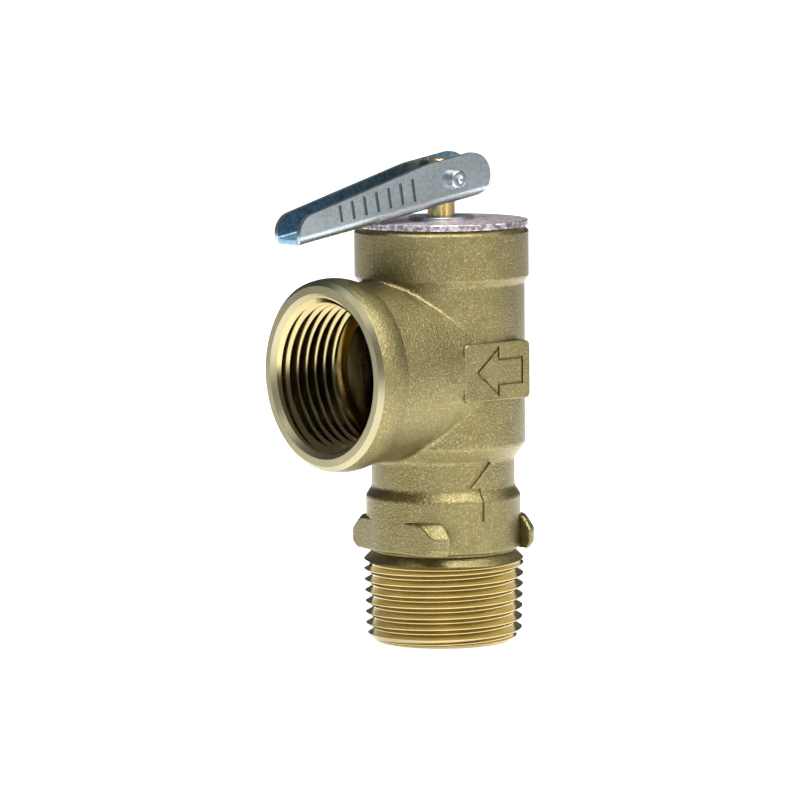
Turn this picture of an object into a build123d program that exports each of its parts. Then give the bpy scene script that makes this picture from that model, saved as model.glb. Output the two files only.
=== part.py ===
from build123d import *
import os
from math import atan, ceil, cos, degrees, hypot, radians, sin, tan

# A 3/4 inch pressure relief valve. Millimetres, +Z up. The origin is the centre of the inlet's
# lower end, the inlet and the stem lie on the Z axis, and the outlet points to -X.

# pipe threads: 14 to the inch, and their diameter changes by 1 in 16
PITCH = 25.4 / 14
TAPER_DEG = 1.79
TAPER = tan(radians(TAPER_DEG))
THREAD_DEPTH = 1.35
CREST_FLAT = 0.16
ROOT_FLAT = 0.12
FLANK_DEG = 30

# body, turned about Z
INLET_BORE_R = 8.5
INLET_END_R = 11.4
MALE_CREST_R = 13.37      # at the top of the male thread
MALE_TOP_Z = 13.7
MALE_START_Z = -2.34
MALE_TURNS = 8.39
RUN_OUT_TURNS = 0.42
BLANK_NECK_R = 11.9
FLANGE_Z = 15.5
FLANGE_R = 12.9
FLANGE_TOP_Z = 24.4
SHOULDER_FILLET = 1.2
NECK_R = 11.95
NECK_Z = (25.9, 30.7)
BARREL_R = 13.78
BARREL_Z = 33.1
BAND_R = 14.48
BAND_Z = (60.9, 69.14)
BAND_CHAMFER = 0.8
TOP_Z = BAND_Z[1]

# wrench lugs, four pressed wings on the flange
LUG_R = 15.2
LUG_X = (8.4, 12.9)       # the outer side's, on the die's parting plane
LUG_DRAFT = tan(radians(9.8))
LUG_Z = (18.7, 20.9, 21.5)

# outlet, turned about a line parallel to X
OUTLET_Z = 45.8
FACE_X = -25.68
FACE_R = (13.61, 14.82)
COLLAR_R = (15.55, 15.95, 15.6)
COLLAR_X = (-19.9, -22.8, -24.95)
BOSS_R = (14.35, 15.05)
MOUTH_MINOR_R = 11.84
FEMALE_TURNS = 8.0
SHOULDER_X = -11.9
RELIEF_R = 12.6
RELIEF_WIDTH = 1.3
OUTLET_BORE_R = 10.3

# arrow pads on the -Y and +Y sides, one raised arrow and one engraved arrow
PAD_X = (-7.2, 6.8)
PAD_Y = 14.55
PAD_Z = (41.1, 50.7)
ARROW_RELIEF = 0.35
ARROW_LINE = 0.2          # half the width of its engraved outline
ARROW_HEAD = 3.85
ARROW_TAIL = 2.05

# chamber and seat
CHAMBER_R = 12.3
CHAMBER_Z = 33.0
CAP_BORE_R = 12.75
CAP_BORE_Z = 60.5
SEAT_Z = 34.6
SEAT_R = (9.3, 9.9)

# poppet
RUBBER_R = 10.0
RUBBER_Z = (SEAT_Z, 37.0)
HOLDER_R = 11.0
HOLDER_Z = (35.4, 40.0)
BOSS_TOP_Z = 48.0
HOLDER_BOSS_R = 6.0
POCKET_R = 4.2
POCKET_Z = 41.5
DISC_WASHER_R = 6.0
DISC_WASHER_THICK = 0.8
SCREW_R = 2.0
SCREW_HEAD_R = 3.6
SCREW_HEAD_TALL = 2.0
SPRING_Z = (41.0, 60.0)
SPRING_MEAN_R = 7.9
WIRE_R = 1.1
SPRING_TURNS = 6.5
PLATE_OUT_R = 9.7

# stem and what hangs on it
STEM_R = 2.3
SLIDE_GAP = 0.1
STEM_HOLE_R = STEM_R + 0.3     # in the pieces that the stem only passes through
STEM_Z = (42.2, 80.4)
CLIP_Z = (43.0, 43.8)
CLIP_GROOVE_R = 1.7
CLIP_R = 3.8
LIFT_WASHER_Z = (43.85, 44.65)
LIFT_NUT_Z = (44.9, BOSS_TOP_Z)

# spring cap and stem seal
CAP_Z = (61.0, 68.8)
CAP_R = 12.7
GLAND_R = 3.75
BUSHING_Z = (61.8, 65.0)
BUSHING_R = 3.6
O_RING_WIRE_R = 0.66
STEM_RING_Z = 65.85
GLAND_WASHER_Z = (66.65, 67.4)
CAP_RING_Z = 66.9
CAP_RING_R = 11.83
CAP_RING_WIRE_R = 0.9
SPANNER_HOLE_R = 1.6
SPANNER_HOLE_X = 8.0
SPANNER_HOLE_DEPTH = 3.0

# top works
PLATE_Z = (TOP_Z, 70.2)
PLATE_R = 14.36
WASHER_Z = (70.2, 70.75)
WASHER_R = 5.42
PIN_Z = 77.0
PIN_R = 1.25
PIN_HEAD_R = 1.55
PIN_END_Y = 4.85

# lever: u runs from the pin towards the tip, v is up from the channel's floor
LEVER_TILT_DEG = 9.5
LEVER_HALF_WIDTH = 3.42
SHEET = 0.96
EAR_V = (-4.0, 3.5)
EAR_BACK_U = -7.9
TIP_U = 33.2
TIP_V = 0.33
SHOULDER_U = 5.0
WEB_U = 5.0
BEND_R = 1.6
GRIP_MARKS = 7
GRIP_DEPTH = 0.2
GRIP_WIDTH = 0.6
GRIP_PITCH = 2.6
GRIP_U = 8.5              # the first mark
GRIP_V = (-1.9, 1.9)      # the first mark's ends, and each next one ends lower
GRIP_DROP = 0.17


def turned(outline, axis=Axis.Z):
    """A solid of revolution from a closed outline in the XZ plane."""
    return revolve(Plane.XZ * make_face(outline), axis)


def rounded(points, radii):
    """A closed outline through the points, with one corner radius for each."""
    return FilletPolyline(*points, radius=radii, close=True)


def disc(r, z0, z1):
    """A plain cylinder about Z."""
    return Pos(0, 0, z0) * extrude(Circle(r), z1 - z0)


def ring(r_out, r_in, z0, z1, soft=0):
    """A flat ring about Z, with its outer rims rounded by soft."""
    return turned(rounded([(r_in, z0), (r_out, z0), (r_out, z1), (r_in, z1)], [0, soft, soft, 0]))


def block(x, y, z):
    """A box between two limits on each axis."""
    size = [abs(pair[1] - pair[0]) for pair in (x, y, z)]
    middle = [(pair[1] + pair[0]) / 2 for pair in (x, y, z)]
    return Pos(*middle) * Box(*size)


def thread_groove(radius, turns, z0, cone_deg, side, start_deg=0):
    """The helical groove of a pipe thread about Z, with its crest radius at z0, as one solid per turn.

    side is -1 for a groove that goes inward, which cuts a male thread, and 1 for a female one.
    """
    lip = 0.04
    half_top = (PITCH - CREST_FLAT) / 2 + lip * tan(radians(FLANK_DEG))
    half_root = ROOT_FLAT / 2
    section = Polyline(
        (-side * lip, -half_top),
        (side * THREAD_DEPTH, -half_root),
        (side * THREAD_DEPTH, half_root),
        (-side * lip, half_top),
        close=True,
    )
    growth = PITCH * tan(radians(cone_deg))
    grooves = []
    for index in range(ceil(turns)):
        share = min(1, turns - index)
        path = Helix(
            PITCH,
            share * PITCH,
            radius + index * growth,
            center=(0, 0, z0 + index * PITCH),
            cone_angle=cone_deg,
        )
        section_plane = Plane(origin=path @ 0, x_dir=(1, 0, 0), z_dir=path % 0)
        groove = sweep(section_plane * make_face(section), path, is_frenet=True)
        grooves.append(Rot(0, 0, start_deg) * groove)
    return grooves


# ---------------------------------------------------------------- body


def barrel():
    """The forging's round column."""
    chamfer_top = (INLET_END_R + 1.6, 1.6)
    points = [
        (0, 0),
        (INLET_END_R, 0),
        chamfer_top,
        (MALE_CREST_R, MALE_TOP_Z),
        (BLANK_NECK_R, MALE_TOP_Z + MALE_CREST_R - BLANK_NECK_R),
        (BLANK_NECK_R, FLANGE_Z),
        (FLANGE_R, FLANGE_Z),
        (FLANGE_R, FLANGE_TOP_Z),
        (NECK_R, NECK_Z[0]),
        (NECK_R, NECK_Z[1]),
        (BARREL_R, BARREL_Z),
        (BARREL_R, BAND_Z[0] - 1.1),
        (BAND_R, BAND_Z[0]),
        (BAND_R, TOP_Z - BAND_CHAMFER),
        (BAND_R - BAND_CHAMFER, TOP_Z),
        (0, TOP_Z),
    ]
    soft = SHOULDER_FILLET
    radii = [0, 0.15, 0, 0, 0, 0, 0.6, soft, soft, 1.2, 1.2, 0.7, 0.7, 0.3, 0.2, 0]
    return turned(rounded(points, radii))


def outlet_boss():
    """The side boss and its collar, with the bevelled face."""
    edge = Polyline(
        (COLLAR_X[2], COLLAR_R[2]),
        (FACE_X, FACE_R[1]),
        (FACE_X, 0),
        (0, 0),
        (0, BOSS_R[0]),
        (COLLAR_X[0], BOSS_R[1]),
        (COLLAR_X[0], COLLAR_R[0]),
    )
    crown = ThreePointArc(
        (COLLAR_X[0], COLLAR_R[0]), (COLLAR_X[1], COLLAR_R[1]), (COLLAR_X[2], COLLAR_R[2])
    )
    return Pos(0, 0, OUTLET_Z) * turned(edge + crown, Axis.X)


def lug(x_sign, y_sign):
    """One pressed wing: a turned rim cut by two upright sides, drafted for dies that part along Y."""
    reach = LUG_R + 1
    rim = turned(
        rounded(
            [
                (10, FLANGE_Z),
                (LUG_R - 0.75, FLANGE_Z),
                (LUG_R, FLANGE_Z + 1.1),
                (LUG_R, LUG_Z[0]),
                (LUG_R - 1.5, LUG_Z[1]),
                (10, LUG_Z[2]),
            ],
            [0, 0.8, 0.8, 1.5, 1.3, 0],
        )
    )
    plan = Polyline(
        (x_sign * LUG_X[0], y_sign * 2),
        (x_sign * (LUG_X[1] - 2 * LUG_DRAFT), y_sign * 2),
        (x_sign * (LUG_X[1] - reach * LUG_DRAFT), y_sign * reach),
        (x_sign * LUG_X[0], y_sign * reach),
        close=True,
    )
    wing = rim & (Pos(0, 0, FLANGE_Z - 1) * extrude(make_face(plan), 8))
    outer = [e for e in wing.edges() if hypot(e.center().X, e.center().Y) > FLANGE_R + 0.6]
    return fillet([e for e in outer if abs(e.tangent_at(0.5).Z) > 0.3], 0.45)


def pad(y_sign):
    """A raised flat pad with round corners."""
    plate = block(PAD_X, (y_sign * PAD_Y, y_sign * (PAD_Y - 5)), PAD_Z)
    plate = fillet(plate.edges().filter_by(Axis.Y), 0.9)
    front = plate.faces().sort_by(Axis.Y)[-1 if y_sign > 0 else 0]
    return fillet(front.edges(), 0.3)


def arrow(length_head, length_tail):
    """An upright arrow that points to +Z. The middle of its head's base is at the origin."""
    outline = Polyline(
        (0, length_head),
        (ARROW_HEAD, 0),
        (ARROW_TAIL, 0),
        (ARROW_TAIL, -length_tail),
        (-ARROW_TAIL, -length_tail),
        (-ARROW_TAIL, 0),
        (-ARROW_HEAD, 0),
        close=True,
    )
    return make_face(outline)


def inlet_arrow():
    """The raised arrow that points up the neck, its face at one height over the skin."""
    prism = Pos(0, 0, 26.5) * extrude(Plane.XZ * arrow(4.2, 5.5), 20)
    flange_face = FLANGE_R + ARROW_RELIEF
    neck_face = NECK_R + ARROW_RELIEF
    points = [
        (10, FLANGE_Z),
        (flange_face, FLANGE_Z),
        (flange_face, FLANGE_TOP_Z),
        (neck_face, NECK_Z[0]),
        (neck_face, BARREL_Z),
        (10, BARREL_Z),
    ]
    return prism & turned(rounded(points, [0, 0, SHOULDER_FILLET, SHOULDER_FILLET, 0, 0]))


def outlet_arrow():
    """The arrow on the pad that points to the outlet, as an engraved outline."""
    line = offset(arrow(4.5, 5.1), ARROW_LINE, kind=Kind.INTERSECTION)
    line -= offset(arrow(4.5, 5.1), -ARROW_LINE, kind=Kind.INTERSECTION)
    prism = Rot(0, -90, 0) * extrude(Plane.XZ * line, 20)
    middle = (PAD_Z[0] + PAD_Z[1]) / 2
    return Pos(-0.1, ARROW_RELIEF - PAD_Y, middle) * prism


def male_thread():
    """The inlet's groove, with a run-out that climbs to the surface."""
    crest = MALE_CREST_R - (MALE_TOP_Z - MALE_START_Z) * TAPER
    full = thread_groove(crest, MALE_TURNS, MALE_START_Z, TAPER_DEG, -1)
    end_z = MALE_START_Z + MALE_TURNS * PITCH
    end_r = crest + MALE_TURNS * PITCH * TAPER
    rise_deg = degrees(atan((THREAD_DEPTH + 0.1) / (RUN_OUT_TURNS * PITCH)))
    run_out = thread_groove(end_r, RUN_OUT_TURNS, end_z, rise_deg, -1, MALE_TURNS * 360)
    return full + run_out


def waterway():
    """Everything that is bored out of the forging along Z."""
    inlet = turned(
        Polyline(
            (0, -1),
            (INLET_BORE_R + 1.8, -1),
            (INLET_BORE_R, 0.8),
            (INLET_BORE_R, SEAT_Z + 1),
            (0, SEAT_Z + 1),
            close=True,
        )
    )
    seat = turned(
        Polyline(
            (0, CHAMBER_Z - 1),
            (SEAT_R[1], CHAMBER_Z - 1),
            (SEAT_R[0], SEAT_Z),
            (0, SEAT_Z),
            close=True,
        )
    )
    chamber = disc(CHAMBER_R, CHAMBER_Z, CAP_BORE_Z + 1) - seat
    cap_bore = disc(CAP_BORE_R, CAP_BORE_Z, TOP_Z + 1)
    return chamber + inlet + cap_bore


def outlet_bore():
    """The outlet's mouth, thread, relief and smooth bore."""
    depth = SHOULDER_X - FACE_X
    cone_r = MOUTH_MINOR_R - depth * TAPER
    bevel = FACE_R[0] - MOUTH_MINOR_R
    mouth = turned(
        Polyline(
            (-1, 0),
            (-1, FACE_R[0] + 1),
            (bevel, MOUTH_MINOR_R),
            (depth, cone_r),
            (depth, OUTLET_BORE_R),
            (-FACE_X, OUTLET_BORE_R),
            (-FACE_X, 0),
            close=True,
        ),
        Axis.X,
    )
    relief = Rot(0, 90, 0) * disc(RELIEF_R, depth - RELIEF_WIDTH, depth)
    start = -2.2
    start_r = MOUTH_MINOR_R - start * TAPER
    grooves = thread_groove(start_r, FEMALE_TURNS, start, -TAPER_DEG, 1)
    cuts = [mouth, relief] + [Rot(0, 90, 0) * groove for groove in grooves]
    return [Pos(FACE_X, 0, OUTLET_Z) * cut for cut in cuts]


def forging():
    """The column and the side boss, with their joint softened."""
    joined = barrel() + outlet_boss()
    seams = joined.edges().filter_by(GeomType.BSPLINE)
    joined = fillet([e for e in seams if e.center().Z < OUTLET_Z], 1.0)
    seams = joined.edges().filter_by(GeomType.BSPLINE)
    body = fillet([e for e in seams if e.center().Z > OUTLET_Z + 1], 0.6)
    return body


def valve_body():
    body = forging()
    for y_sign in (-1, 1):
        body += pad(y_sign)
        for x_sign in (-1, 1):
            body += lug(x_sign, y_sign)
    body += inlet_arrow()
    body -= outlet_arrow()
    body -= waterway()
    for cut in outlet_bore() + male_thread():
        body -= cut
    return body


# ---------------------------------------------------------------- poppet


def seat_disc():
    """The rubber disc, with a hole for its screw and softened rims."""
    return ring(RUBBER_R, SCREW_R + 0.1, *RUBBER_Z, 0.25)


def disc_holder():
    """The brass cup over the rubber, with a boss that is bored to take the stem's foot."""
    outline = rounded(
        [
            (0, HOLDER_Z[0]),
            (HOLDER_R, HOLDER_Z[0]),
            (HOLDER_R, HOLDER_Z[1]),
            (HOLDER_BOSS_R, HOLDER_Z[1]),
            (HOLDER_BOSS_R, BOSS_TOP_Z),
            (0, BOSS_TOP_Z),
        ],
        [0, 0.3, 0.6, 0, 0.4, 0],
    )
    cup = turned(outline)
    cup -= disc(RUBBER_R + 0.03, HOLDER_Z[0] - 1, RUBBER_Z[1])
    cup -= disc(SCREW_R, RUBBER_Z[1] - 1, POCKET_Z - 1.0)
    return cup - disc(POCKET_R, POCKET_Z, BOSS_TOP_Z + 1)


def disc_washer():
    """The thin washer that clamps the rubber, inside the inlet bore."""
    return ring(DISC_WASHER_R, SCREW_R + 0.1, SEAT_Z - DISC_WASHER_THICK, SEAT_Z, 0.15)


def disc_screw():
    """A pan-head screw with a cross recess, driven up from the inlet side."""
    seat_z = SEAT_Z - DISC_WASHER_THICK
    low_z = seat_z - SCREW_HEAD_TALL
    head = turned(
        rounded(
            [(0, low_z), (SCREW_HEAD_R, low_z), (SCREW_HEAD_R, seat_z), (0, seat_z)],
            [0, 1.2, 0.1, 0],
        )
    )
    shank = disc(SCREW_R, seat_z - 0.5, POCKET_Z - 1.2)
    shank = chamfer(shank.edges().group_by(Axis.Z)[-1], 0.4)
    slot = block((-2.0, 2.0), (-0.35, 0.35), (low_z - 1, low_z + 1.1))
    return head + shank - slot - Rot(0, 0, 90) * slot


def lift_nut():
    """The nut in the holder's boss that traps the stem's foot, with two spanner slots."""
    nut = ring(POCKET_R - 0.03, STEM_HOLE_R, *LIFT_NUT_Z)
    slot = block((-10, 10), (-0.5, 0.5), (BOSS_TOP_Z - 1.0, BOSS_TOP_Z + 1))
    return nut - slot


def lower_spring_plate():
    """A dished plate round the holder's boss, with a rim that centres the spring."""
    plate = ring(PLATE_OUT_R, HOLDER_BOSS_R + 0.05, HOLDER_Z[1], SPRING_Z[0])
    rim = ring(PLATE_OUT_R, PLATE_OUT_R - 0.5, SPRING_Z[0], SPRING_Z[0] + 0.7)
    return plate + rim


# ---------------------------------------------------------------- spring


def relief_spring():
    """A round-wire compression spring with its ends ground flat, held between two plates."""
    low, high = SPRING_Z
    path = Helix((high - low) / SPRING_TURNS, high - low, SPRING_MEAN_R, center=(0, 0, low))
    section = Plane(origin=path @ 0, x_dir=(1, 0, 0), z_dir=path % 0) * Circle(WIRE_R)
    coil = sweep(section, path, is_frenet=True)
    return coil & disc(SPRING_MEAN_R + WIRE_R + 1, low, high)


# ---------------------------------------------------------------- cap and seals


def upper_spring_plate():
    """The plate under the cap, with a hub that fills the spring's top."""
    plate = ring(PLATE_OUT_R, STEM_HOLE_R + 0.2, SPRING_Z[1], CAP_Z[0], 0.15)
    hub = ring(SPRING_MEAN_R - WIRE_R - 0.3, STEM_HOLE_R + 0.2, SPRING_Z[1] - 1.5, SPRING_Z[1])
    return plate + hub


def spring_cap():
    """The brass cap: a plug with a seal groove, a stem gland and two spanner holes."""
    groove = (CAP_RING_Z - CAP_RING_WIRE_R, CAP_RING_Z + CAP_RING_WIRE_R)
    groove_r = CAP_RING_R - CAP_RING_WIRE_R
    cap = turned(
        rounded(
            [
                (STEM_HOLE_R, CAP_Z[0]),
                (CAP_R - 2.2, CAP_Z[0]),
                (CAP_R - 2.2, CAP_Z[0] + 1.0),
                (CAP_R, CAP_Z[0] + 1.6),
                (CAP_R, groove[0]),
                (groove_r, groove[0]),
                (groove_r, groove[1]),
                (CAP_R, groove[1]),
                (CAP_R, CAP_Z[1]),
                (GLAND_R, CAP_Z[1]),
                (GLAND_R, BUSHING_Z[1]),
                (BUSHING_R, BUSHING_Z[1]),
                (BUSHING_R, BUSHING_Z[0]),
                (STEM_HOLE_R, BUSHING_Z[0]),
            ],
            [0] * 8 + [0.3] + [0] * 5,
        )
    )
    for side in (-1, 1):
        hole = disc(SPANNER_HOLE_R, CAP_Z[1] - SPANNER_HOLE_DEPTH, CAP_Z[1] + 1)
        cap -= Pos(side * SPANNER_HOLE_X, 0, 0) * hole
    return cap


def o_ring(mean_r, wire_r, z):
    return Pos(0, 0, z) * Torus(mean_r, wire_r)


def stem_bushing():
    """The plain sleeve that guides the stem."""
    return ring(BUSHING_R, STEM_R + SLIDE_GAP, *BUSHING_Z, 0.1)


# ---------------------------------------------------------------- stem


def stem():
    """The brass rod, with a groove for its clip and a cross hole for the lever's pin."""
    low, high = STEM_Z
    rod = turned(
        rounded(
            [
                (0, low),
                (STEM_R, low),
                (STEM_R, CLIP_Z[0]),
                (CLIP_GROOVE_R, CLIP_Z[0]),
                (CLIP_GROOVE_R, CLIP_Z[1]),
                (STEM_R, CLIP_Z[1]),
                (STEM_R, high),
                (0, high),
            ],
            [0, 0.2, 0, 0, 0, 0, 0.5, 0],
        )
    )
    return rod - cross_pin(PIN_R + 0.08, STEM_R + 1)


def cross_pin(r, half_length):
    """A cylinder along Y at the pin's height."""
    return Pos(0, 0, PIN_Z) * (Rot(90, 0, 0) * disc(r, -half_length, half_length))


def stem_clip():
    """An E-clip: a ring with an open mouth and three inner fingers."""
    clip = ring(CLIP_R, CLIP_GROOVE_R + 0.7, *CLIP_Z)
    for angle in (90, 180, 270):
        finger = block((CLIP_GROOVE_R, CLIP_GROOVE_R + 1.2), (-0.6, 0.6), CLIP_Z)
        finger -= disc(CLIP_GROOVE_R, CLIP_Z[0] - 1, CLIP_Z[1] + 1)
        clip += Rot(0, 0, angle) * finger
    mouth = block((0, CLIP_R + 1), (-CLIP_GROOVE_R, CLIP_GROOVE_R), (CLIP_Z[0] - 1, CLIP_Z[1] + 1))
    return clip - mouth


# ---------------------------------------------------------------- top works


def name_plate():
    """The round plate on the body's top, blank, with its sheared rim softened."""
    return ring(PLATE_R, STEM_HOLE_R + 0.1, *PLATE_Z, 0.2)


def stem_washer():
    return ring(WASHER_R, STEM_HOLE_R, *WASHER_Z, 0.12)


def lever_plane():
    """The plane of the lever's side view: x is u, y is v, and its normal is +Y."""
    tilt = radians(LEVER_TILT_DEG)
    return Plane(origin=(0, 0, PIN_Z), x_dir=(-cos(tilt), 0, -sin(tilt)), z_dir=(0, 1, 0))


def side_view():
    """The lever's outline from the side: a strip with a round back end and a tapered front."""
    points = [
        (TIP_U, EAR_V[0]),
        (TIP_U, TIP_V),
        (SHOULDER_U, EAR_V[1]),
        (EAR_BACK_U, EAR_V[1]),
        (EAR_BACK_U, EAR_V[0]),
    ]
    end_r = (EAR_V[1] - EAR_V[0]) / 2 - 0.01
    return make_face(rounded(points, [0.3, 3.4, 25, end_r, end_r]))


def bent_bar(start_u, inset):
    """A bar with two round lower corners, inset from the sheet's outer face, that runs to the tip."""
    half = LEVER_HALF_WIDTH - inset
    tall = EAR_V[1] - EAR_V[0]
    section = Pos(0, tall / 2 + inset) * Rectangle(2 * half, tall)
    section = fillet(section.vertices().group_by(Axis.Y)[0], BEND_R - inset)
    end_view = Plane(origin=(start_u, EAR_V[0], 0), x_dir=(0, 0, -1), z_dir=(1, 0, 0))
    return extrude(end_view * section, TIP_U + 1 - start_u)


def lever():
    """The stamped channel lever with its two pierced ears and a row of pressed grip marks."""
    strip = extrude(side_view(), LEVER_HALF_WIDTH, both=True)
    flat = strip & bent_bar(EAR_BACK_U - 1, 0)
    flat -= bent_bar(WEB_U, SHEET)
    slot_half = LEVER_HALF_WIDTH - SHEET
    flat -= block((EAR_BACK_U - 2, WEB_U + 0.01), (-20, 20), (-slot_half, slot_half))
    for index in range(GRIP_MARKS):
        u = GRIP_U + GRIP_PITCH * index
        v_limits = (GRIP_V[0], GRIP_V[1] - GRIP_DROP * index)
        wall = (-LEVER_HALF_WIDTH - 1, GRIP_DEPTH - LEVER_HALF_WIDTH)
        flat -= block((u, u + GRIP_WIDTH), v_limits, wall)
    return lever_plane() * flat - cross_pin(PIN_R + 0.02, LEVER_HALF_WIDTH + 1)


def lever_pin():
    """The pin, with a wider riveted end outside each ear and a dimple in each end."""
    pin = cross_pin(PIN_R, PIN_END_Y - 0.5)
    head = turned(
        rounded(
            [
                (0, LEVER_HALF_WIDTH),
                (PIN_HEAD_R, LEVER_HALF_WIDTH),
                (PIN_HEAD_R, PIN_END_Y),
                (0.75, PIN_END_Y),
                (0, PIN_END_Y - 0.4),
            ],
            [0, 0, 0.35, 0.1, 0],
        )
    )
    for tip_deg in (90, -90):
        pin += Pos(0, 0, PIN_Z) * (Rot(tip_deg, 0, 0) * head)
    return pin


def main():
    os.makedirs("parts", exist_ok=True)
    pieces = {
        "valve_body": valve_body(),
        "seat_disc": seat_disc(),
        "disc_holder": disc_holder(),
        "disc_washer": disc_washer(),
        "disc_screw": disc_screw(),
        "lift_nut": lift_nut(),
        "lower_spring_plate": lower_spring_plate(),
        "relief_spring": relief_spring(),
        "upper_spring_plate": upper_spring_plate(),
        "spring_cap": spring_cap(),
        "cap_o_ring": o_ring(CAP_RING_R, CAP_RING_WIRE_R, CAP_RING_Z),
        "stem_bushing": stem_bushing(),
        "stem_o_ring": o_ring(STEM_R + SLIDE_GAP + O_RING_WIRE_R, O_RING_WIRE_R, STEM_RING_Z),
        "o_ring_washer": ring(GLAND_R - 0.03, STEM_HOLE_R, *GLAND_WASHER_Z),
        "stem": stem(),
        "stem_clip": stem_clip(),
        "lift_washer": ring(CLIP_R + 0.1, STEM_R + 0.1, *LIFT_WASHER_Z),
        "name_plate": name_plate(),
        "stem_washer": stem_washer(),
        "lever": lever(),
        "lever_pin": lever_pin(),
    }
    for name, shape in pieces.items():
        export_step(shape, f"parts/{name}.step")


if __name__ == "__main__":
    main()
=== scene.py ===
import math

import bmesh
import bpy
from mathutils import Matrix, Vector


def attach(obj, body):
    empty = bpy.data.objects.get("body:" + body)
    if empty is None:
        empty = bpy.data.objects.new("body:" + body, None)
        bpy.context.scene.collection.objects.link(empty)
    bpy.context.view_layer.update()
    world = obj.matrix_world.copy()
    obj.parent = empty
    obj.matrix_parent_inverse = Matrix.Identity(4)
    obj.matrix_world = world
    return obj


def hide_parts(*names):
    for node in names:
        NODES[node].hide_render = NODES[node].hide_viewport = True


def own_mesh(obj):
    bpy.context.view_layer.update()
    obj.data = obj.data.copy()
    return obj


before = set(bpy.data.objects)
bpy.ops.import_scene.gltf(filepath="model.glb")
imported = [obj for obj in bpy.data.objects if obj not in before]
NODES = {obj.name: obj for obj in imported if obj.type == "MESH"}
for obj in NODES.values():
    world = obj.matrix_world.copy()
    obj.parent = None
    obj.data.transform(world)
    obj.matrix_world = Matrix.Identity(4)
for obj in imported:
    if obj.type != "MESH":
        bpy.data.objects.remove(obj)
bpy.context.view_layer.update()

MM = 0.001

# these lengths are in millimetres, and those of the floor and camera are in metres

# the body; the zones' limits lie a little past the walls that they take in
BAND_RADIUS = 14.48
BAND_Z = (61.3, 68.1)
OUTLET_Z = 45.8
FACE_DEPTH = 24.9           # the outlet's machined face begins this far out
OUTLET_MOUTH = (13.75, 14.2)  # radius, and how far out from the stem's axis it begins
OUTLET_BORE = (12.9, 9.0)
WATERWAY_R = 11.3
CHAMBER_R = 12.85
CHAMBER_Z = 32.5
MALE_TOP = 13.75
MALE_FADE = 0.1
PLATE_RIM_R = (14.0, 14.2)

# the lever
LEVER_TILT = math.radians(9.5)
LEVER_INSIDE = 2.6
PIN_HEIGHT = 77.0
MARKS_ALONG = (8.0, 25.5)
MARKS_HALF_TALL = 2.6
MARKS_ACROSS = (3.05, 3.39)

# the relief spring
SPRING_LOW = 41.0
SPRING_HIGH = 60.0
SPRING_TURNS = 6.5
SPRING_RADIUS = 7.9
WIRE_RADIUS = 1.1
WIRE_SIDES = 14
COIL_STEPS = 208

SCENE = bpy.context.scene


# ---------------------------------------------------------------- node helpers


class Graph:
    """A small wrapper that adds nodes to one material and links them."""

    def __init__(self, name):
        self.material = bpy.data.materials.new(name)
        self.material.use_nodes = True
        self.tree = self.material.node_tree
        self.tree.nodes.clear()
        self.output = self.tree.nodes.new("ShaderNodeOutputMaterial")
        self.shader = self.tree.nodes.new("ShaderNodeBsdfPrincipled")
        self.link(self.shader.outputs[0], self.output.inputs[0])

    def link(self, source, target):
        self.tree.links.new(source, target)

    def put(self, socket, value):
        if hasattr(value, "is_output"):
            self.link(value, socket)
        else:
            socket.default_value = value

    def coords(self):
        return self.tree.nodes.new("ShaderNodeTexCoord").outputs["Object"]

    def math(self, operation, a, b=0.0, c=0.0):
        made = self.tree.nodes.new("ShaderNodeMath")
        made.operation = operation
        for socket, value in zip(made.inputs, (a, b, c)):
            self.put(socket, value)
        return made.outputs[0]

    def below(self, value, limit_mm):
        return self.math("LESS_THAN", value, limit_mm * MM)

    def split(self, vector):
        made = self.tree.nodes.new("ShaderNodeSeparateXYZ")
        self.link(vector, made.inputs[0])
        return made.outputs

    def noise(self, scale, detail=2.0, rough=0.5):
        made = self.tree.nodes.new("ShaderNodeTexNoise")
        made.inputs["Scale"].default_value = scale
        made.inputs["Detail"].default_value = detail
        made.inputs["Roughness"].default_value = rough
        self.link(self.coords(), made.inputs["Vector"])
        return made.outputs["Fac"]

    def span(self, value, low, high, out_low=0.0, out_high=1.0):
        made = self.tree.nodes.new("ShaderNodeMapRange")
        made.interpolation_type = "SMOOTHSTEP"
        limits = {"From Min": low, "From Max": high, "To Min": out_low, "To Max": out_high}
        self.put(made.inputs["Value"], value)
        for key, number in limits.items():
            self.put(made.inputs[key], number)
        return made.outputs[0]

    def mix(self, factor, a, b):
        made = self.tree.nodes.new("ShaderNodeMix")
        made.data_type = "RGBA"
        self.put(made.inputs[0], factor)
        for socket, value in ((made.inputs[6], a), (made.inputs[7], b)):
            self.put(socket, value if hasattr(value, "is_output") else (*value, 1.0))
        return made.outputs[2]

    def blend(self, factor, a, b):
        made = self.tree.nodes.new("ShaderNodeMix")
        self.put(made.inputs[0], factor)
        self.put(made.inputs[2], a)
        self.put(made.inputs[3], b)
        return made.outputs[0]

    def radius(self, a, b):
        squares = self.math("ADD", self.math("POWER", a, 2.0), self.math("POWER", b, 2.0))
        return self.math("SQRT", squares)

    def bump(self, height, distance, strength):
        made = self.tree.nodes.new("ShaderNodeBump")
        made.inputs["Strength"].default_value = strength
        made.inputs["Distance"].default_value = distance
        self.link(height, made.inputs["Height"])
        return made.outputs[0]

    def surface(self, **inputs):
        for key, value in inputs.items():
            self.put(self.shader.inputs[key.replace("_", " ")], value)
        return self.material


# ---------------------------------------------------------------- materials


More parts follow.
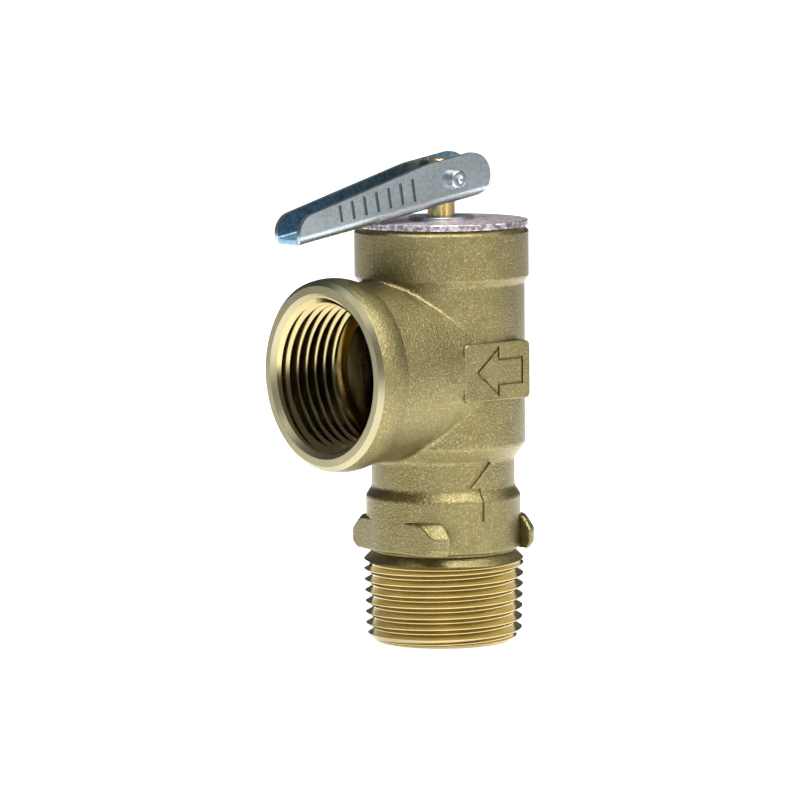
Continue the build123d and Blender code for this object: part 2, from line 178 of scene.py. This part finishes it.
def forged_body():
    """As-forged brass with a blasted grain, bright flecks painted as glints, and bright machined
    threads, bores and faces.
    """
    g = Graph("forged_brass")
    x, y, z = g.split(g.coords())
    from_stem = g.radius(x, y)
    from_outlet = g.radius(y, g.math("SUBTRACT", z, OUTLET_Z * MM))

    def outlet_zone(radius, depth):
        return g.math("MULTIPLY", g.below(from_outlet, radius), g.below(x, -depth))

    front = g.below(x, -FACE_DEPTH)
    inside = g.below(from_stem, WATERWAY_R)
    above_seat = g.math("GREATER_THAN", z, CHAMBER_Z * MM)
    chamber = g.math("MULTIPLY", g.below(from_stem, CHAMBER_R), above_seat)
    machined = g.span(z, (MALE_TOP + MALE_FADE) * MM, (MALE_TOP - MALE_FADE) * MM)
    for mask in (front, outlet_zone(*OUTLET_MOUTH), outlet_zone(*OUTLET_BORE), inside, chamber):
        machined = g.math("MAXIMUM", machined, mask)

    # as forged: blotches, grain, bright flecks painted as glints, and a darker, duller skin
    blotch = g.noise(260, 3, 0.6)
    grain = g.noise(4600, 2, 0.6)
    fleck_and_glint = g.noise(2900, 2, 0.6)
    forged = g.mix(g.span(blotch, 0.35, 0.65), (0.180, 0.155, 0.070), (0.212, 0.183, 0.084))
    # the bright flecks are painted glints; the same noise also shapes the bump below
    forged = g.mix(g.span(fleck_and_glint, 0.50, 0.68, 0.0, 0.36), forged, (0.580, 0.500, 0.260))
    forged = g.mix(g.span(grain, 0.50, 0.36, 0.0, 0.55), forged, (0.100, 0.085, 0.036))
    forged_rough = g.span(blotch, 0.3, 0.7, 0.33, 0.39)

    # machined: yellower, with fine turned lines
    sweep = g.noise(90, 2, 0.5)
    bright = g.mix(g.span(sweep, 0.35, 0.65), (0.365, 0.302, 0.148), (0.418, 0.348, 0.174))
    pale = g.mix(g.span(sweep, 0.35, 0.65), (0.310, 0.280, 0.172), (0.350, 0.316, 0.195))
    bright = g.mix(front, bright, pale)
    glossy = g.span(sweep, 0.3, 0.7, 0.13, 0.18)
    satin = g.span(sweep, 0.3, 0.7, 0.34, 0.40)
    bright_rough = g.blend(front, glossy, satin)

    colour = g.mix(machined, forged, bright)
    rough = g.blend(machined, forged_rough, bright_rough)
    texture = g.math("ADD", g.math("MULTIPLY", grain, 0.6), g.math("MULTIPLY", fleck_and_glint, 0.7))
    height = g.math("MULTIPLY", texture, g.math("SUBTRACT", 1.0, machined))
    normal = g.bump(height, 0.00020, 0.85)
    return g.surface(Base_Color=colour, Metallic=1.0, Roughness=rough, Normal=normal)


def turned_brass():
    g = Graph("turned_brass")
    sweep = g.noise(200, 2, 0.5)
    colour = g.mix(g.span(sweep, 0.35, 0.65), (0.78, 0.60, 0.27), (0.84, 0.67, 0.33))
    rough = g.span(sweep, 0.3, 0.7, 0.20, 0.30)
    normal = g.bump(g.noise(2500, 2, 0.5), 0.00003, 0.3)
    return g.surface(Base_Color=colour, Metallic=1.0, Roughness=rough, Normal=normal)


def grip_mark_shade(g, across):
    """Masks the lever's grip marks, which are darkened as painted shade: below the side's surface,
    within the row's stretch.
    """
    x, _, z = g.split(g.coords())
    drop = g.math("SUBTRACT", z, PIN_HEIGHT * MM)
    cos, sin = math.cos(LEVER_TILT), math.sin(LEVER_TILT)
    along = g.math("ADD", g.math("MULTIPLY", x, -cos), g.math("MULTIPLY", drop, -sin))
    up = g.math("ADD", g.math("MULTIPLY", x, -sin), g.math("MULTIPLY", drop, cos))
    middle = sum(MARKS_ALONG) / 2
    half_row = (MARKS_ALONG[1] - MARKS_ALONG[0]) / 2
    in_row = g.math("COMPARE", along, middle * MM, half_row * MM)
    marks = g.math("MULTIPLY", in_row, g.math("COMPARE", up, 0.0, MARKS_HALF_TALL * MM))
    depth_middle = sum(MARKS_ACROSS) / 2
    half_depth = (MARKS_ACROSS[1] - MARKS_ACROSS[0]) / 2
    return g.math("MULTIPLY", marks, g.math("COMPARE", across, depth_middle * MM, half_depth * MM))


def zinc(name, shine):
    """Dull zinc plating with a fine mottle, bluer on the channel's inner side and darker there as
    painted shade.
    """
    g = Graph(name)
    across = g.math("ABSOLUTE", g.split(g.coords())[1])
    mottle = g.noise(1500, 2, 0.5)
    patch = g.noise(120, 2, 0.5)
    dark, light, bluish = (
        tuple(channel * shine for channel in shade)
        for shade in ((0.29, 0.34, 0.36), (0.38, 0.43, 0.45), (0.30, 0.36, 0.40))
    )
    colour = g.mix(g.span(mottle, 0.35, 0.65), dark, light)
    colour = g.mix(g.span(patch, 0.35, 0.7, 0.0, 0.5), colour, bluish)
    if name == "zinc_lever":
        # the channel's inner side: a bluer tint, and darker as painted shade
        inside = g.mix(g.span(mottle, 0.35, 0.65), (0.16, 0.28, 0.37), (0.26, 0.40, 0.50))
        colour = g.mix(g.below(across, LEVER_INSIDE), colour, inside)
        # painted shade in the grip marks' recesses
        colour = g.mix(grip_mark_shade(g, across), colour, (0.15, 0.18, 0.19))
    rough = g.span(patch, 0.3, 0.7, 0.29, 0.35)
    normal = g.bump(patch, 0.00002, 0.5)
    return g.surface(Base_Color=colour, Metallic=1.0, Roughness=rough, Normal=normal)


def violet_zinc():
    """Zinc plate whose film shades from silver to pink and violet, with a dark sheared rim."""
    g = Graph("zinc_plate")
    x, y, _ = g.split(g.coords())
    patch = g.noise(140, 2, 0.5)
    streak = g.noise(700, 3, 0.6)
    colour = g.mix(g.span(patch, 0.38, 0.62), (0.84, 0.66, 0.68), (0.76, 0.71, 0.71))
    colour = g.mix(g.span(streak, 0.5, 0.7, 0.0, 0.4), colour, (0.52, 0.36, 0.46))
    rim = g.span(g.radius(x, y), PLATE_RIM_R[0] * MM, PLATE_RIM_R[1] * MM)
    tear = g.noise(1100, 3, 0.7)
    sheared = g.mix(g.span(tear, 0.42, 0.58), (0.20, 0.17, 0.20), (0.58, 0.53, 0.56))
    colour = g.mix(rim, colour, sheared)
    rough = g.span(streak, 0.3, 0.7, 0.24, 0.38)
    normal = g.bump(streak, 0.00004, 0.4)
    return g.surface(Base_Color=colour, Metallic=0.85, Roughness=rough, Normal=normal)


def steel(name, low, high, rough_low, rough_high):
    g = Graph(name)
    cloud = g.noise(500, 3, 0.6)
    colour = g.mix(g.span(cloud, 0.35, 0.65), low, high)
    rough = g.span(cloud, 0.3, 0.7, rough_low, rough_high)
    normal = g.bump(cloud, 0.00003, 0.3)
    return g.surface(Base_Color=colour, Metallic=1.0, Roughness=rough, Normal=normal)


def moulded(name, low, high, rough_low, rough_high):
    g = Graph(name)
    cloud = g.noise(800, 3, 0.6)
    colour = g.mix(g.span(cloud, 0.35, 0.65), low, high)
    rough = g.span(cloud, 0.3, 0.7, rough_low, rough_high)
    return g.surface(Base_Color=colour, Roughness=rough, Normal=g.bump(cloud, 0.00004, 0.4))


def loft(name, bm, rings, smooth=False):
    """Joins rings of vertices into one closed piece that rides the body."""
    count = len(rings[0])
    for near, far in zip(rings, rings[1:]):
        for i in range(count):
            j = (i + 1) % count
            bm.faces.new((near[i], near[j], far[j], far[i]))
    bm.faces.new(rings[0][::-1])
    bm.faces.new(rings[-1])
    bmesh.ops.recalc_face_normals(bm, faces=bm.faces)
    for face in bm.faces:
        face.smooth = smooth
    mesh = bpy.data.meshes.new(name)
    bm.to_mesh(mesh)
    bm.free()
    made = bpy.data.objects.new(name, mesh)
    SCENE.collection.objects.link(made)
    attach(made, "body")
    return made


def parting_line():
    """The thin flash ridge that the forging dies left along the top band, on the outlet's side."""
    bm = bmesh.new()
    rings = []
    steps = 24
    for step in range(steps + 1):
        z = (BAND_Z[0] + (BAND_Z[1] - BAND_Z[0]) * step / steps) * MM
        sway = 0.03 * math.sin(step * 1.7) + 0.02 * math.sin(step * 0.6)
        tall = 0.06 + 0.02 * math.sin(step * 2.3)
        foot = BAND_RADIUS - 0.08
        section = [(foot, -0.17), (BAND_RADIUS + tall, sway), (foot, 0.17)]
        rings.append([bm.verts.new((-r * MM, w * MM, z)) for r, w in section])
    return loft("parting_line", bm, rings)


def coil_spring():
    """The relief spring again, as a piece that rides the body."""
    bm = bmesh.new()
    rings = []
    for step in range(COIL_STEPS + 1):
        turn = 2 * math.pi * SPRING_TURNS * step / COIL_STEPS
        centre = SPRING_LOW + (SPRING_HIGH - SPRING_LOW) * step / COIL_STEPS
        ring = []
        for side in range(WIRE_SIDES):
            around = 2 * math.pi * side / WIRE_SIDES
            radius = SPRING_RADIUS + WIRE_RADIUS * math.cos(around)
            # the ends are ground flat
            z = min(max(centre + WIRE_RADIUS * math.sin(around), SPRING_LOW), SPRING_HIGH)
            point = Vector((radius * math.cos(turn), radius * math.sin(turn), z))
            ring.append(bm.verts.new(point * MM))
        rings.append(ring)
    made = loft("spring_coil", bm, rings, smooth=True)
    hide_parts("relief_spring")
    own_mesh(made)
    return made


def paint(material, *names):
    for name in names:
        slots = NODES[name].data.materials
        slots.clear()
        slots.append(material)


forged = forged_body()
paint(forged, "valve_body")
parting_line().data.materials.append(forged)
paint(turned_brass(), "disc_holder", "lift_nut", "spring_cap", "stem")
paint(zinc("zinc_lever", 1.2), "lever")
paint(zinc("zinc_hardware", 1.1), "lever_pin", "stem_washer")
paint(violet_zinc(), "name_plate", "lower_spring_plate", "upper_spring_plate")
spring_steel = steel("spring_steel", (0.33, 0.33, 0.34), (0.45, 0.45, 0.46), 0.3, 0.4)
paint(spring_steel, "relief_spring", "stem_clip")
coil_spring().data.materials.append(spring_steel)
stainless = steel("stainless", (0.58, 0.58, 0.58), (0.68, 0.68, 0.68), 0.25, 0.35)
paint(stainless, "disc_washer", "disc_screw", "lift_washer", "o_ring_washer")
rubber = moulded("rubber", (0.015, 0.015, 0.015), (0.03, 0.03, 0.03), 0.5, 0.65)
paint(rubber, "seat_disc", "cap_o_ring", "stem_o_ring")
paint(moulded("bushing", (0.75, 0.73, 0.68), (0.82, 0.80, 0.76), 0.4, 0.5), "stem_bushing")


# ---------------------------------------------------------------- stage, light and camera


CAM_AZ = math.radians(-39.66)
CAM_DISTANCE = 0.8699
CAM_HEIGHT = 0.13385
YAW = math.radians(0.466)
PITCH = math.radians(-6.15)
ROLL = math.radians(-0.473)
SENSOR = 36
FOCAL = 5263 / 800 * SENSOR

FLOOR_REACH = 7
STRIP_HALF_WIDTH = 0.26
STRIP_FLARE = 0.12
STRIP_FRONT = -0.20
STRIP_FADE = 0.13
AIM_HEIGHT = 0.045


def paper():
    """A white paper floor, lit from within along the camera's line of sight."""
    mesh = bpy.data.meshes.new("floor")
    r = FLOOR_REACH
    mesh.from_pydata([(-r, -r, 0), (r, -r, 0), (r, r, 0), (-r, r, 0)], [], [(0, 1, 2, 3)])
    made = bpy.data.objects.new("floor", mesh)
    made.location = (0, 0, -0.0002)
    made.rotation_euler = (0, 0, CAM_AZ)
    SCENE.collection.objects.link(made)
    g = Graph("floor")
    across, along, _ = g.split(g.coords())
    behind = g.math("MAXIMUM", along, 0.0)
    half_width = g.math("MULTIPLY_ADD", behind, STRIP_FLARE, STRIP_HALF_WIDTH)
    beside = g.math("SUBTRACT", g.math("ABSOLUTE", across), half_width)
    before = g.math("SUBTRACT", STRIP_FRONT, along)
    outside = g.math("MAXIMUM", beside, before)
    glow = g.span(outside, STRIP_FADE, 0.0, 0.0, 0.90)
    shade = g.mix(g.span(outside, STRIP_FADE, 0.0), (0.50, 0.50, 0.50), (0.90, 0.90, 0.90))
    g.surface(Base_Color=shade, Roughness=0.9)
    g.surface(Emission_Color=(1.0, 1.0, 1.0, 1.0), Emission_Strength=glow)
    mesh.materials.append(g.material)
    return made


paper()


def aim(thing, forward, roll=0.0):
    """Points a camera or light along forward, with its right side level, then rolls it."""
    forward = forward.normalized()
    right = forward.cross(Vector((0, 0, 1))).normalized()
    up = right.cross(forward)
    across = right * math.cos(roll) + up * math.sin(roll)
    above = up * math.cos(roll) - right * math.sin(roll)
    turn = Matrix((across, above, -forward)).transposed()
    thing.rotation_euler = turn.to_euler()


def camera():
    data = bpy.data.cameras.new("camera")
    made = bpy.data.objects.new("camera", data)
    SCENE.collection.objects.link(made)
    data.sensor_width = SENSOR
    data.lens = FOCAL
    data.clip_start = 0.05
    data.clip_end = 40
    out = Vector((math.sin(CAM_AZ), -math.cos(CAM_AZ), 0))
    made.location = out * CAM_DISTANCE + Vector((0, 0, CAM_HEIGHT))
    az = CAM_AZ + YAW
    level = Vector((-math.sin(az), math.cos(az), 0))
    forward = level * math.cos(PITCH) + Vector((0, 0, math.sin(PITCH)))
    aim(made, forward, ROLL)
    SCENE.camera = made


def outward(right_deg, elevation_deg):
    """The direction to a light, by its angle to the right of the camera and its elevation."""
    a = CAM_AZ + math.radians(right_deg)
    e = math.radians(elevation_deg)
    return Vector((math.sin(a) * math.cos(e), -math.cos(a) * math.cos(e), math.sin(e)))


def lamp(name, kind, energy, colour, right_deg, elevation_deg, distance):
    data = bpy.data.lights.new(name, kind)
    data.energy = energy
    data.color = colour
    made = bpy.data.objects.new(name, data)
    SCENE.collection.objects.link(made)
    out = outward(right_deg, elevation_deg)
    made.location = Vector((0, 0, AIM_HEIGHT)) + out * distance
    aim(made, -out)
    return data


def sky(name, right_deg, elevation_deg, energy, spread_deg):
    """A broad, even light that reaches the whole floor."""
    data = lamp(name, "SUN", energy, (1, 1, 1), right_deg, elevation_deg, 2.0)
    data.angle = math.radians(spread_deg)


def softbox(name, right_deg, elevation_deg, distance, width, height, power, colour=(1, 1, 1)):
    data = lamp(name, "AREA", power, colour, right_deg, elevation_deg, distance)
    data.shape = "RECTANGLE"
    data.size, data.size_y = width, height


camera()
sky("key", 68, 40, 1.5, 40)
softbox("top", 5, 66, 0.8, 0.5, 0.40, 12.0)
softbox("front", 1, 30, 0.95, 0.03, 1.2, 1.0)
softbox("warm", 47, 30, 0.95, 0.05, 1.2, 1.6, (1.0, 0.75, 0.45))

world = bpy.data.worlds.new("studio")
SCENE.world = world
world.use_nodes = True
background = world.node_tree.nodes["Background"]
background.inputs[0].default_value = (0.95, 0.98, 1.0, 1)
background.inputs[1].default_value = 0.14

SCENE.view_settings.view_transform = "Standard"
